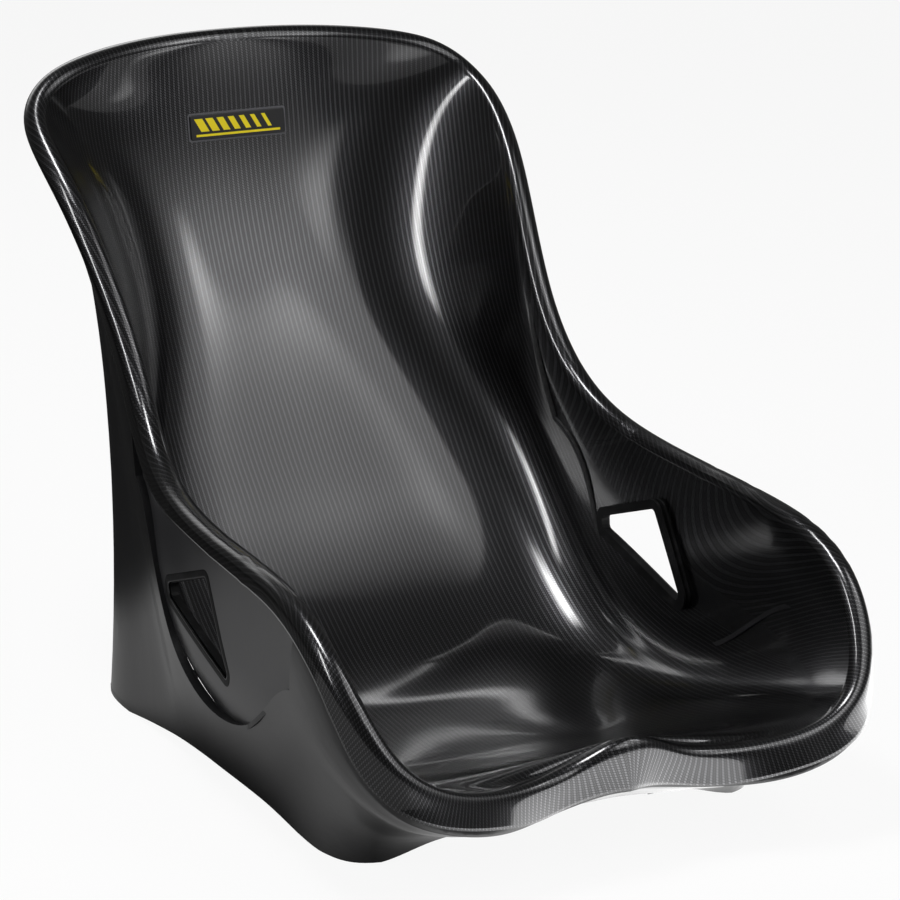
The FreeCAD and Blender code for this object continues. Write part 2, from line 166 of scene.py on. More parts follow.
# 2x2 twill laid at 45 degrees, so its ribs run up the seat: a cell (i, j) shows the warp tow
# while (i - j) mod 4 < 2, and each tow is a low hump across its width and along its float
def makeCarbon():
    material, start, shader = newFinish("carbonTwill", {
        "Coat Weight": 1.0, "Coat Roughness": 0.06, "Coat IOR": 1.5, "Metallic": weave["metallic"]})
    uv = start.node("ShaderNodeUVMap", {"uv_map": "cloth"})
    apart = start.node("ShaderNodeSeparateXYZ", None, {0: uv}).socket.node
    wander = start.node("ShaderNodeTexNoise", {"noise_dimensions": "2D"},
                        {"Vector": uv, "Scale": 9.0, "Detail": 1.0})
    u = Value(start.tree, apart.outputs[0]) + (wander - 0.5) * weave["wander"]
    v = Value(start.tree, apart.outputs[1])
    turn = math.sqrt(0.5) / weave["towWidth"]
    across = (u + v) * turn
    along = (v - u) * turn
    i = across.floor()
    j = along.floor()
    warpTop = ((i - j) * 0.25).fract() < 0.4999         # just under a half, so that the edge stays clean
    sideWarp = 1 - (across.fract() * 2 - 1) * (across.fract() * 2 - 1)
    sideWeft = 1 - (along.fract() * 2 - 1) * (along.fract() * 2 - 1)
    floatWarp = ((i - along + 1) * (math.pi / 2)).sine().size()
    floatWeft = ((across - j) * (math.pi / 2)).sine().size()
    sideways = weave["sideShare"]
    warpHeight = sideWarp * sideways + floatWarp * (1 - sideways)
    weftHeight = sideWeft * sideways + floatWeft * (1 - sideways)
    height = warpTop * warpHeight + (1 - warpTop) * weftHeight
    fibres = start.node("ShaderNodeTexNoise", {"noise_dimensions": "2D"},
                        {"Vector": uv, "Scale": 2600.0, "Detail": 1.0})
    patch = start.node("ShaderNodeTexNoise", None, {"Vector": uv, "Scale": 14.0, "Detail": 3.0})
    # painted sheen: warp tows lighter than weft tows
    tow = warpTop.blend(weave["weftShadedTone"], weave["warpLitTone"])
    # painted highlight on each tow's crown and painted shade down to the gaps, by hump height, times real
    # fibre grain and random patches
    crownShadeAndGrain = (height.smoothStep(0.35, 0.95) * (0.82 + fibres * 0.3) * (0.85 + patch * 0.3))
    feed(start.tree, shader.inputs["Base Color"], crownShadeAndGrain.blend(weave["gapShadeTone"], tow))
    rough = weave["roughness"] + (1 - height) * 0.10 + (fibres - 0.5) * 0.06
    feed(start.tree, shader.inputs["Roughness"], rough)
    bumpInto(start, shader, height, weave["bump"], 0.22 * mm)
    return material


skinLook = {
    "gelTone": (0.008, 0.008, 0.0088),
    "gelHaze": (0.011, 0.011, 0.012),
    "gelDust": (0.03, 0.03, 0.032),
    "backTone": (0.026, 0.026, 0.028),
    "backCloud": (0.034, 0.034, 0.036),
    "trimTone": (0.006, 0.006, 0.0064),
    "trimScuff": (0.018, 0.018, 0.019),
    "steelTone": (0.56, 0.57, 0.58),
    "steelCloud": (0.44, 0.44, 0.42),
    "glueTone": (0.018, 0.018, 0.019),
    "glueLump": (0.04, 0.04, 0.041),
}


# black gel coat: orange peel, faint polishing haze and dust
def makeGelCoat():
    material, start, shader = newFinish("blackGelCoat", {"Coat Weight": 0.25, "Coat Roughness": 0.12})
    spot = places(start)[0]
    peel = start.node("ShaderNodeTexNoise", None, {"Vector": spot, "Scale": 260.0, "Detail": 2.0})
    haze = start.node("ShaderNodeTexNoise", None, {"Vector": spot, "Scale": 6.0, "Detail": 4.0})
    dust = start.node("ShaderNodeTexNoise", None, {"Vector": spot, "Scale": 900.0, "Detail": 1.0})
    tone = haze.smoothStep(0.3, 0.75).blend(skinLook["gelTone"], skinLook["gelHaze"])
    tone = (dust.smoothStep(0.62, 0.78) * 0.5).blend(tone, skinLook["gelDust"])
    feed(start.tree, shader.inputs["Base Color"], tone)
    feed(start.tree, shader.inputs["Roughness"], 0.33 + (haze - 0.5) * 0.14 + (dust - 0.5) * 0.06)
    bumpInto(start, shader, peel, 0.12, 0.25 * mm)
    return material


# resin side of the laminate: print of the cloth under a satin film
def makeLaminateBack():
    material, start, shader = newFinish("laminateBack", {"Coat Weight": 0.2, "Coat Roughness": 0.18})
    spot = places(start)[0]
    grain = start.node("ShaderNodeTexNoise", None, {"Vector": spot, "Scale": 420.0, "Detail": 2.0})
    cloud = start.node("ShaderNodeTexNoise", None, {"Vector": spot, "Scale": 11.0, "Detail": 3.0})
    tone = cloud.smoothStep(0.3, 0.8).blend(skinLook["backTone"], skinLook["backCloud"])
    feed(start.tree, shader.inputs["Base Color"], tone)
    feed(start.tree, shader.inputs["Roughness"], 0.36 + (cloud - 0.5) * 0.12)
    bumpInto(start, shader, grain, 0.15, 0.2 * mm)
    return material


# satin plastic of the slot trims: fine grain, with scuffed patches that are paler and rougher
def makeTrim():
    material, start, shader = newFinish("slotTrim", {"Specular IOR Level": 0.12})
    spot = places(start)[0]
    grain = start.node("ShaderNodeTexNoise", None, {"Vector": spot, "Scale": 700.0, "Detail": 2.0})
    scuff = start.node("ShaderNodeTexNoise", None, {"Vector": spot, "Scale": 60.0, "Detail": 3.0})
    tone = scuff.smoothStep(0.45, 0.8).blend(skinLook["trimTone"], skinLook["trimScuff"])
    feed(start.tree, shader.inputs["Base Color"], tone)
    feed(start.tree, shader.inputs["Roughness"], 0.5 + (scuff - 0.5) * 0.2)
    bumpInto(start, shader, grain, 0.2, 0.15 * mm)
    return material


# zinc plating: spangled tone, with brush marks stretched along x
def makeSteel():
    material, start, shader = newFinish("zincSteel", {"Metallic": 1.0})
    spot = places(start)[0]
    cloud = start.node("ShaderNodeTexNoise", None, {"Vector": spot, "Scale": 130.0, "Detail": 4.0})
    brush = start.node("ShaderNodeTexNoise", None, {"Vector": start.node("ShaderNodeMapping", None, {
        "Vector": spot, "Scale": (60.0, 1500.0, 1500.0)}), "Scale": 1.0, "Detail": 2.0})
    tone = cloud.smoothStep(0.3, 0.75).blend(skinLook["steelTone"], skinLook["steelCloud"])
    feed(start.tree, shader.inputs["Base Color"], tone)
    feed(start.tree, shader.inputs["Roughness"], 0.3 + brush * 0.14 + (cloud - 0.5) * 0.12)
    bumpInto(start, shader, brush, 0.15, 0.05 * mm)
    return material


# cured adhesive: lumpy, a little paler on the lumps
def makeGlue():
    material, start, shader = newFinish("blackAdhesive", {"Specular IOR Level": 0.4})
    spot = places(start)[0]
    lump = start.node("ShaderNodeTexNoise", None, {"Vector": spot, "Scale": 180.0, "Detail": 3.0})
    tone = lump.smoothStep(0.3, 0.8).blend(skinLook["glueTone"], skinLook["glueLump"])
    feed(start.tree, shader.inputs["Base Color"], tone)
    feed(start.tree, shader.inputs["Roughness"], 0.45 + (lump - 0.5) * 0.25)
    bumpInto(start, shader, lump, 0.4, 0.4 * mm)
    return material


carbon = makeCarbon()
gelCoat = makeGelCoat()
laminateBack = makeLaminateBack()
trimPlastic = makeTrim()
zincSteel = makeSteel()
blackAdhesive = makeGlue()
print("stage: finishes")

shell = {
    "shiftY": -60.3,        # from the moulding's own zero to the part origin, mm
    "wall": 2.4,
    "rollWidth": 21.0,
    "rollBulge": 0.62,
    "edgeStep": 0.08,
    "wallPower": 6.0,
    "turns": 336,           # columns round the rim
    "rows": 104,            # rows from the middle to the rim
    "crowding": 1.35,       # power that draws the rows towards the rim
    "rollRows": 18,
    "flangeRows": 6,
    "headingSpan": 3,       # columns each side that give the rim's run in the cloth
    "tableSize": 241,       # points each way in the cloth's length tables
    "cutFrom": 150.0,       # reach of the slot's cutter, mm from the middle plane
    "cutTo": 290.0,
}
# rim line from the top centre to the lip centre: x, y, z of the start of the roll
rimStations = [
    (0.0, 424.0, 556.0), (95.0, 412.0, 552.5), (169.1, 383.9, 541.2), (210.2, 354.6, 514.3),
    (207.4, 282.5, 453.3), (192.5, 203.7, 343.1), (200.7, 122.7, 258.8), (214.8, 0.9, 231.1),
    (219.9, -136.8, 223.1), (223.3, -236.1, 194.0), (202.5, -293.9, 126.5), (143.1, -299.1, 92.5),
    (62.6, -282.6, 90.8), (0.0, -283.6, 107.2)]
# middle line of the bucket: q, y, z
spineStations = [
    (-1.00, -283.6, 107.2), (-0.80, -205.0, 66.0), (-0.60, -88.0, 33.0), (-0.45, 5.0, 34.0),
    (-0.30, 92.0, 54.0), (-0.15, 170.0, 106.0), (0.00, 234.0, 171.0), (0.20, 308.0, 257.0),
    (0.40, 366.0, 340.0), (0.60, 400.0, 418.0), (0.80, 414.0, 487.0), (1.00, 424.0, 556.0)]
# section law: q, share of the steep wall, power of the gentle curve
sectionStations = [
    (-1.00, 0.00, 2.6), (-0.70, 0.75, 3.4), (-0.40, 0.96, 4.2), (-0.10, 0.93, 4.6), (0.10, 0.70, 4.8),
    (0.30, 0.25, 4.2), (0.50, 0.05, 3.6), (0.75, 0.00, 3.0), (1.00, 0.00, 2.8)]
flangeFollow = [0.54, 0.57, 0.77, 0.98, 1.2, 0.7, 0.36, 0.09, 0.05, -0.2, 0.15, -0.5, 0.2, 0.0]
flangeDepths = [16.1, 16.2, 18.3, 20.6, 21.7, 17.4, 14.5, 5.8, 8.2, 9.6, 15.7, 14.9, 16.3, 27.4]
slotCorners = [(101.0, 159.0), (15.0, 188.0), (-33.0, 108.0), (99.0, 147.0)]
slotRound = 5.0
halfCount = len(rimStations)
loopSpan = 2.0 * (halfCount - 1)


# smooth cubic through points: second derivatives from a tridiagonal system, closed or with
# the first and last joints free of a kink in the third derivative
def splineThrough(knots, values, closed):
    knots = np.asarray(knots, float)
    values = np.asarray(values, float)
    steps = np.diff(knots)
    count = len(knots)
    system = np.zeros((count, count))
    wanted = np.zeros((count, values.shape[1]))
    inner = np.arange(1, count - 1)
    system[inner, inner - 1] = steps[inner - 1]
    system[inner, inner] = 2 * (steps[inner - 1] + steps[inner])
    system[inner, inner + 1] = steps[inner]
    slopes = np.diff(values, axis=0) / steps[:, None]
    wanted[inner] = 6 * (slopes[inner] - slopes[inner - 1])
    if closed:
        system[0, [0, 1, count - 2]] = [2 * (steps[0] + steps[-1]), steps[0], steps[-1]]
        wanted[0] = 6 * (slopes[0] - slopes[-1])
        system[-1, [0, count - 1]] = [1, -1]
    else:
        system[0, :3] = [steps[1], -(steps[0] + steps[1]), steps[0]]
        system[-1, -3:] = [steps[-1], -(steps[-1] + steps[-2]), steps[-2]]
    bends = np.linalg.solve(system, wanted)

    def at(place):
        place = np.asarray(place, float)
        seg = np.clip(np.searchsorted(knots, place, side="right") - 1, 0, count - 2)
        step = steps[seg][..., None]
        b = (place - knots[seg])[..., None] / step
        a = 1 - b
        curve = (a ** 3 - a) * bends[seg] + (b ** 3 - b) * bends[seg + 1]
        return a * values[seg] + b * values[seg + 1] + curve * step ** 2 / 6
    return at


# rim line: the stations and their mirror image, joined in a closed spline
def closedRim():
    right = np.array(rimStations)
    left = right[-2:0:-1] * [-1, 1, 1]
    loop = np.vstack([right, left, right[:1]])
    return splineThrough(np.arange(len(loop)), loop, True)


rimCurve = closedRim()
spineRows = np.array(spineStations)
spineCurve = splineThrough(spineRows[:, 0], spineRows[:, 1:], False)
lawRows = np.array(sectionStations)
lawCurve = splineThrough(lawRows[:, 0], lawRows[:, 1:], False)


# polar angle to place on the rim: 90 degrees is the top centre, clockwise to the lip
def rimPlace(angle):
    return (((math.pi / 2 - angle) / (2 * math.pi)) % 1.0) * loopSpan


# one value per rim station, eased between stations and mirrored left and right
def stationValue(values, angle):
    values = np.asarray(values, float)
    place = rimPlace(angle)
    place = np.minimum(place, loopSpan - place)
    low = np.minimum(place.astype(int), halfCount - 2)
    part = place - low
    part = part * part * (3 - 2 * part)
    return values[low] * (1 - part) + values[low + 1] * part


# bucket over the unit disc: x across, q up the middle line; the point runs from the middle line
# to the rim with rise = (1 - share) |f|^power + share (1 - (1 - |f|^n)^(1/n))
def bucket(x, q):
    q = np.clip(q, -1.0, 1.0)
    half = np.sqrt(np.maximum(0.0, 1.0 - q * q))
    spine = spineCurve(q)
    f = np.where(half < 1e-6, 0.0, np.clip(x / np.maximum(half, 1e-9), -1, 1))
    edge = rimCurve(rimPlace(np.arcsin(q)))
    law = lawCurve(q)
    share = np.clip(law[..., 0], 0, 1)
    size = np.abs(f)
    steep = 1 - np.maximum(0.0, 1 - size ** shell["wallPower"]) ** (1 / shell["wallPower"])
    rise = (1 - share) * size ** law[..., 1] + share * steep
    return np.stack([edge[..., 0] * f,
                     spine[..., 0] + rise * (edge[..., 1] - spine[..., 0]),
                     spine[..., 1] + rise * (edge[..., 2] - spine[..., 1])], -1)


# vectors over their own lengths
def unit(v):
    return v / np.maximum(np.linalg.norm(v, axis=-1, keepdims=True), 1e-12)


# sum of products, kept as a last axis of one
def dot(a, b):
    return (a * b).sum(-1, keepdims=True)


# start point, outward and downward directions of the roll at every angle
def rollFrame(angle):
    c, s = np.cos(angle), np.sin(angle)
    step = 1 - shell["edgeStep"]
    start = bucket(c, s)
    rise = unit(start - bucket(step * c, step * s))
    ahead, behind = angle + 0.01, angle - 0.01
    along = unit(bucket(np.cos(ahead), np.sin(ahead)) - bucket(np.cos(behind), np.sin(behind)))
    rise = unit(rise - along * dot(rise, along))
    follow = stationValue(flangeFollow, angle)[..., None]
    side = np.stack([0.10 * c, 0.08 * s + 0.05, -np.ones_like(c)], -1)
    drop = unit(rise * -follow + side * (1 - follow))
    drop = unit(drop - along * dot(drop, along))
    out = unit(np.cross(along, unit(rise - drop)))
    sign = np.sign(out[..., 0] * c + out[..., 1] * s)[..., None]
    return start, rise, drop, out * sign


# front face: w 0..1 a cubic arc with its handles along rise and drop, 1..2 the straight flange
def rollPoint(w, angle, rollParts):
    start, rise, drop, out = rollParts
    end = start + out * shell["rollWidth"]
    turn = shell["rollWidth"] * shell["rollBulge"]
    depth = stationValue(flangeDepths, angle)[..., None]
    w = w[..., None]
    k = 1 - np.minimum(w, 1)
    v = np.minimum(w, 1)
    arc = (start * k ** 3 + (start + rise * turn) * 3 * k * k * v
           + (end - drop * turn) * 3 * k * v * v + end * v ** 3)
    return arc + drop * depth * np.maximum(w - 1, 0)


# running length along an axis of a table of points, zero at the given index
def runLength(points, axis, zero):
    gaps = np.linalg.norm(np.diff(points, axis=axis), axis=-1)
    total = np.insert(np.cumsum(gaps, axis=axis), 0, 0.0, axis=axis)
    return total - np.take(total, [zero], axis=axis)


# value of a table at fractional row and column
def tableAt(table, row, column):
    row = np.clip(row, 0, table.shape[0] - 1.001)
    column = np.clip(column, 0, table.shape[1] - 1.001)
    r, c = row.astype(int), column.astype(int)
    a, b = row - r, column - c
    return ((1 - a) * (1 - b) * table[r, c] + a * (1 - b) * table[r + 1, c]
            + (1 - a) * b * table[r, c + 1] + a * b * table[r + 1, c + 1])


# the cloth's own coordinates, mm: across is the length along a line of equal q from the middle,
# along is the length up a line of equal x from the seat's waist line
tick = np.linspace(-1, 1, shell["tableSize"])
halfTable = shell["tableSize"] // 2
qGrid, fGrid = np.meshgrid(tick * 0.9999, tick, indexing="ij")
acrossTable = runLength(bucket(fGrid * np.sqrt(1 - qGrid ** 2), qGrid), 1, halfTable)
xGrid, tGrid = np.meshgrid(tick * 0.999, tick, indexing="ij")
alongTable = runLength(bucket(xGrid, tGrid * np.sqrt(1 - xGrid ** 2)), 1, halfTable)


# cloth coordinates of a bucket point, read from the two tables
def clothPlace(x, q):
    half = np.sqrt(np.maximum(1 - q * q, 1e-9))
    tall = np.sqrt(np.maximum(1 - x * x, 1e-9))
    across = tableAt(acrossTable, (q + 1) * halfTable, (np.clip(x / half, -1, 1) + 1) * halfTable)
    along = tableAt(alongTable, (x + 1) * halfTable, (np.clip(q / tall, -1, 1) + 1) * halfTable)
    return np.stack([across, along], -1)


# a mesh object from points, faces as index rows, and a cloth coordinate for each point
def meshPiece(name, points, faces, cloth=None):
    mesh = bpy.data.meshes.new(name)
    sizes = np.array([len(face) for face in faces], np.int32)
    corners = np.concatenate([np.asarray(face, np.int32) for face in faces])
    mesh.vertices.add(len(points))
    mesh.vertices.foreach_set("co", np.ascontiguousarray(points, np.float32).ravel())
    mesh.loops.add(len(corners))
    mesh.loops.foreach_set("vertex_index", corners)
    mesh.polygons.add(len(sizes))
    mesh.polygons.foreach_set("loop_start", np.concatenate([[0], np.cumsum(sizes)[:-1]]).astype(np.int32))
    mesh.update(calc_edges=True)
    mesh.polygons.foreach_set("use_smooth", np.ones(len(sizes), bool))
    if cloth is not None:
        layer = mesh.uv_layers.new(name="cloth")
        layer.data.foreach_set("uv", np.ascontiguousarray(cloth[corners], np.float32).ravel())
    mesh.validate()
    piece = bpy.data.objects.new(name, mesh)
    bpy.context.scene.collection.objects.link(piece)
    return piece


# polar grid of the front face, with closer rows towards the rim and round the roll
def shellGrid():
    angle = math.pi / 2 - 2 * math.pi * np.arange(shell["turns"]) / shell["turns"]
    rows = shell["rows"]
    reach = 1 - (1 - np.linspace(0, 1, rows + 1)[1:]) ** shell["crowding"]
    s, a = np.meshgrid(reach, angle, indexing="ij")
    x, q = s * np.cos(a), s * np.sin(a)
    inside = bucket(x, q)
    cloth = clothPlace(x, q)
    parts = rollFrame(angle)
    turnRows = np.concatenate([np.linspace(0, 1, shell["rollRows"] + 1)[1:],
                               np.linspace(1, 2, shell["flangeRows"] + 1)[1:]])
    outside = np.stack([rollPoint(np.full(len(angle), w), angle, parts) for w in turnRows])
    span = shell["headingSpan"]
    tangent = np.roll(cloth[-1], -span, 0) - np.roll(cloth[-1], span, 0)
    heading = unit(np.stack([-tangent[:, 1], tangent[:, 0]], -1))
    heading = heading * np.sign((heading * cloth[-1]).sum(-1, keepdims=True))
    for turn in range(4):
        heading = unit(heading * 2 + np.roll(heading, 1, 0) + np.roll(heading, -1, 0))
    line = np.concatenate([inside[-1:], outside])
    run = np.cumsum(np.linalg.norm(np.diff(line, axis=0), axis=-1), axis=0)
    beyond = cloth[-1] + heading * run[..., None]
    grid = np.concatenate([inside, outside])
    clothGrid = np.concatenate([cloth, beyond])
    middle = bucket(np.zeros(1), np.zeros(1))
    points = np.concatenate([middle, grid.reshape(-1, 3)]) + [0, shell["shiftY"], 0]
    clothPoints = np.concatenate([clothPlace(np.zeros(1), np.zeros(1)), clothGrid.reshape(-1, 2)])
    n = shell["turns"]
    lines = np.arange(len(grid) - 1)[:, None] * n
    column = np.arange(n)[None, :]
    after = (column + 1) % n
    here, later = 1 + lines + column, 1 + lines + after
    quads = np.stack([here, here + n, later + n, later], -1)
    tip = [(0, 1 + k, 1 + (k + 1) % n) for k in range(n)]
    return points * mm, clothPoints * mm, list(quads.reshape(-1, 4)) + tip


# rounded polygon outline: each corner becomes an arc of the given radius
def roundOutline(corners, radius, arcSteps=8):
    corners = np.array(corners, float)
    outline = []
    for here, before, later in zip(corners, np.roll(corners, 1, 0), np.roll(corners, -1, 0)):
        a, b = unit(before - here), unit(later - here)
        half = math.acos(float(np.clip(a @ b, -1, 1))) / 2
        centre = here + unit(a + b) * radius / math.sin(half)
        first = here + a * radius / math.tan(half) - centre
        last = here + b * radius / math.tan(half) - centre
        share = np.linspace(0, 1, arcSteps)[:, None]
        outline.append(centre + unit(first * (1 - share) + last * share) * radius)
    return np.concatenate(outline)


# prism of an outline in the side plane, from one x to another
def sidePrism(name, outline, fromX, toX):
    n = len(outline)
    ring = np.arange(n)
    flat = np.tile(outline + [shell["shiftY"], 0], (2, 1))
    points = np.column_stack([np.repeat([fromX, toX], n), flat])
    walls = [(k, (k + 1) % n, n + (k + 1) % n, n + k) for k in range(n)]
    piece = meshPiece(name, points * mm, [tuple(ring[::-1])] + walls + [tuple(ring + n)])
    tool = bmesh.new()
    tool.from_mesh(piece.data)
    bmesh.ops.recalc_face_normals(tool, faces=tool.faces)
    tool.to_mesh(piece.data)
    tool.free()
    return piece


# the piece as its modifiers leave it, with the modifiers and any cutters gone
def settle(piece, cutters=()):
    bpy.context.view_layer.update()
    graph = bpy.context.evaluated_depsgraph_get()
    ready = piece.evaluated_get(graph)
    mesh = bpy.data.meshes.new_from_object(ready, preserve_all_data_layers=True, depsgraph=graph)
    piece.modifiers.clear()
    old = piece.data
    piece.data = mesh
    mesh.name = piece.name
    bpy.data.meshes.remove(old)
    for cutter in cutters:
        bpy.data.objects.remove(cutter)
    return piece


# inner shell: the front face is turned to look up into the seat, given its wall and cut by the two
# belt slots; the shine keeps the normals of the uncut shell
def makeShell():
    points, cloth, faces = shellGrid()
    piece = meshPiece("carbonShell", points, faces, cloth)
    piece.data.materials.append(carbon)
    piece.data.materials.append(laminateBack)
    tool = bmesh.new()
    tool.from_mesh(piece.data)
    bmesh.ops.recalc_face_normals(tool, faces=tool.faces)
    top = max(tool.faces, key=lambda face: len(face.verts) == 3)
    if top.normal.z < 0:
        bmesh.ops.reverse_faces(tool, faces=tool.faces)
    tool.to_mesh(piece.data)
    tool.free()
    wall = piece.modifiers.new("laminate", "SOLIDIFY")
    wall.thickness = shell["wall"] * mm
    wall.offset = -1.0
    wall.use_quality_normals = True
    wall.material_offset = 1
    wall.material_offset_rim = 0
    whole = piece.copy()
    whole.data = piece.data.copy()
    bpy.context.scene.collection.objects.link(whole)
    settle(whole)
    outline = roundOutline(slotCorners, slotRound)
    cutters = []
    for side in (1, -1):
        cutter = sidePrism("slotCutter", outline, side * shell["cutFrom"], side * shell["cutTo"])
        hole = piece.modifiers.new("slot", "BOOLEAN")
        hole.operation = "DIFFERENCE"
        hole.solver = "EXACT"
        hole.object = cutter
        cutters.append(cutter)
    steady = piece.modifiers.new("steadyNormals", "DATA_TRANSFER")
    steady.object = whole
    steady.use_loop_data = True
    steady.data_types_loops = {"CUSTOM_NORMAL"}
    steady.loop_mapping = "POLYINTERP_NEAREST"
    settle(piece, cutters + [whole])
    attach(piece, "root")
    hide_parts("inner_shell")
    return piece


# a merged copy of a CAD node, smooth except at edges sharper than the given angle
def smoothCopy(node, name, finish, sharp=32.0):
    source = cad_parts[node]
    mesh = source.data.copy()
    piece = bpy.data.objects.new(name, mesh)
    bpy.context.scene.collection.objects.link(piece)
    tool = bmesh.new()
    tool.from_mesh(mesh)
    bmesh.ops.remove_doubles(tool, verts=tool.verts, dist=0.01 * mm)
    limit = math.radians(sharp)
    for face in tool.faces:
        face.smooth = True
    for edge in tool.edges:
        edge.smooth = edge.is_manifold and edge.calc_face_angle(0.0) < limit
    tool.to_mesh(mesh)
    tool.free()
    mesh.materials.clear()
    mesh.materials.append(finish)
    even = piece.modifiers.new("evenNormals", "WEIGHTED_NORMAL")     # flat faces stay flat to the light
    even.keep_sharp = True
    settle(piece)
    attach(piece, "root")
    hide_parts(node)
    return piece


carbonShell = makeShell()
print("stage: carbon shell", len(carbonShell.data.polygons))
smoothCopy("outer_shell", "outerMoulding", gelCoat)
for side in ("left", "right"):
    smoothCopy("slot_trim_inner_" + side, "beltTrimInner_" + side, trimPlastic)
    smoothCopy("slot_trim_outer_" + side, "beltTrimOuter_" + side, trimPlastic)

ring = {
    "nearEdge": 0.4,        # from the slot's edge, mm
    "farEdge": 6.8,
    "height": 2.4,
    "roundOff": 0.9,
    "around": 180,          # points along the slot's edge
    "across": 5,            # lines of points over its width
    "startX": 262.0,        # laid on from here, mm from the middle plane
    "outShare": 0.8,        # how much of the height stands outward
}


# raised ring round a belt slot on the outside: the slot's outline is set out step by step along its
# own normals, laid on the shell from the side, thickened outward and rounded off
def makeRing(side, name):
    corner = roundOutline(slotCorners, slotRound, 10)
    corner = np.vstack([corner, corner[:1]])
    length = np.concatenate([[0], np.cumsum(np.linalg.norm(np.diff(corner, axis=0), axis=1))])
    even = np.linspace(0, length[-1], ring["around"], endpoint=False)
    outline = np.column_stack([np.interp(even, length, corner[:, k]) for k in (0, 1)])
    run = np.roll(outline, -1, 0) - np.roll(outline, 1, 0)
    normal = np.column_stack([run[:, 1], -run[:, 0]]) / np.linalg.norm(run, axis=1)[:, None]
    normal *= np.sign(((outline - outline.mean(0)) * normal).sum())
    steps = np.linspace(ring["nearEdge"], ring["farEdge"], ring["across"])
    flat = np.concatenate([outline + normal * step for step in steps])
    points = np.column_stack([np.full(len(flat), side * ring["startX"]), flat + [shell["shiftY"], 0]])
    n = len(outline)
    here = np.arange(n * (len(steps) - 1))
    later = here - here % n + (here + 1) % n
    faces = np.column_stack([here, later, later + n, here + n])[:, ::side]
    piece = meshPiece(name, points * mm, faces)
    piece.data.materials.append(trimPlastic)
    lay = piece.modifiers.new("onShell", "SHRINKWRAP")
    lay.wrap_method = "PROJECT"
    lay.target = carbonShell
    lay.use_project_x = True
    lay.use_negative_direction = True
    lay.use_positive_direction = True
    thick = piece.modifiers.new("height", "SOLIDIFY")
    thick.thickness = ring["height"] * mm
    thick.offset = ring["outShare"]
    soft = piece.modifiers.new("roundOff", "BEVEL")
    soft.width = ring["roundOff"] * mm
    soft.segments = 3
    soft.angle_limit = math.radians(50)
    settle(piece)
    piece.data.shade_smooth()
    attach(piece, "root")
    return piece


for side, name in ((1, "left"), (-1, "right")):
    makeRing(side, "beltRing_" + name)

tuck = {
    "reach": 9.0,       # mm outward, in full past the two lengths below
    "from": -90.0,
    "over": 60.0,
}


# the bead of adhesive at a recess: its front end is drawn outward, behind the carbon, by a share
# that grows from nothing to one between two places along y
def makeBead(side):
    bead = smoothCopy("pod_bond_" + side, "recessBead_" + side, blackAdhesive)
    points = np.empty(len(bead.data.vertices) * 3, np.float32)
    bead.data.vertices.foreach_get("co", points)
    points = points.reshape(-1, 3)
    share = np.clip((tuck["from"] * mm - points[:, 1]) / (tuck["over"] * mm), 0, 1)
    points[:, 0] += np.sign(points[:, 0]) * share * tuck["reach"] * mm
    bead.data.vertices.foreach_set("co", points.ravel())
    bead.data.update()
    return bead


for side in ("left", "right"):
    makeBead(side)
print("stage: moulding and trims")

badge = {
    "width": 98.0 * mm,
    "height": 26.0 * mm,
    "barTone": (0.86, 0.70, 0.01),
    "groundTone": (0.012, 0.012, 0.013),
    "bars": 7,
    "barsWide": 0.80,           # shares of the badge's width and height from here on
    "barsStart": 0.40,
    "barsLow": -0.16,
    "barsHigh": 0.30,
    "firstBar": 0.78,
    "thinning": 0.62,
    "lineLow": -0.33,
    "lineHigh": -0.25,
    "lineHalf": 0.43,
    "slant": 0.55,
}


# slanted bars that thin out to one side, over a thin line: all from the badge's own frame,
# whose middle and upward direction come from the CAD plate
def makeBadgeFace():
    low, high = (np.array(v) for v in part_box("badge_dome"))
    centre = (low + high) / 2
    tilt = (high - low)[1:]
    up = tilt / np.linalg.norm(tilt)
    material, start, shader = newFinish("badgeFace", {
        "Coat Weight": 0.15, "Coat Roughness": 0.1, "Specular IOR Level": 0.3})
    spot, x, y, z = places(start)
    across = (x - float(centre[0])) / badge["width"]
    height = (y - float(centre[1])) * float(up[0]) + (z - float(centre[2])) * float(up[1])
    height = height / badge["height"]
    run = (across + height * badge["slant"] * badge["height"] / badge["width"]) + badge["barsStart"]
    number = run * (badge["bars"] / badge["barsWide"])
    width = badge["firstBar"] - run * badge["thinning"]
    bar = (number.fract() < width) * (run > 0.0) * (run < badge["barsWide"])
    bar = bar * (height > badge["barsLow"]) * (height < badge["barsHigh"])
    line = (height > badge["lineLow"]) * (height < badge["lineHigh"])
    line = line * (across.size() < badge["lineHalf"])
    mask = bar + line
    grain = start.node("ShaderNodeTexNoise", None, {"Vector": spot, "Scale": 500.0, "Detail": 2.0})
    ink = (grain * 0.25).blend(badge["barTone"], (0.72, 0.56, 0.01))
    feed(start.tree, shader.inputs["Base Color"], mask.blend(badge["groundTone"], ink))
    feed(start.tree, shader.inputs["Roughness"], 0.3 + (grain - 0.5) * 0.1)
    return material


# dark foil under the dome
def makeBadgePlate():
    material, start, shader = newFinish("badgeFoil", {
        "Metallic": 0.6, "Coat Weight": 0.6, "Coat Roughness": 0.05})
    spot = places(start)[0]
    grain = start.node("ShaderNodeTexNoise", None, {"Vector": spot, "Scale": 800.0, "Detail": 2.0})
    feed(start.tree, shader.inputs["Base Color"], grain.blend((0.05, 0.05, 0.055), (0.10, 0.10, 0.11)))
    feed(start.tree, shader.inputs["Roughness"], 0.28 + grain * 0.12)
    return material


smoothCopy("badge_dome", "badgeDome", makeBadgeFace(), 60.0)
smoothCopy("badge_plate", "badgePlate", makeBadgePlate())

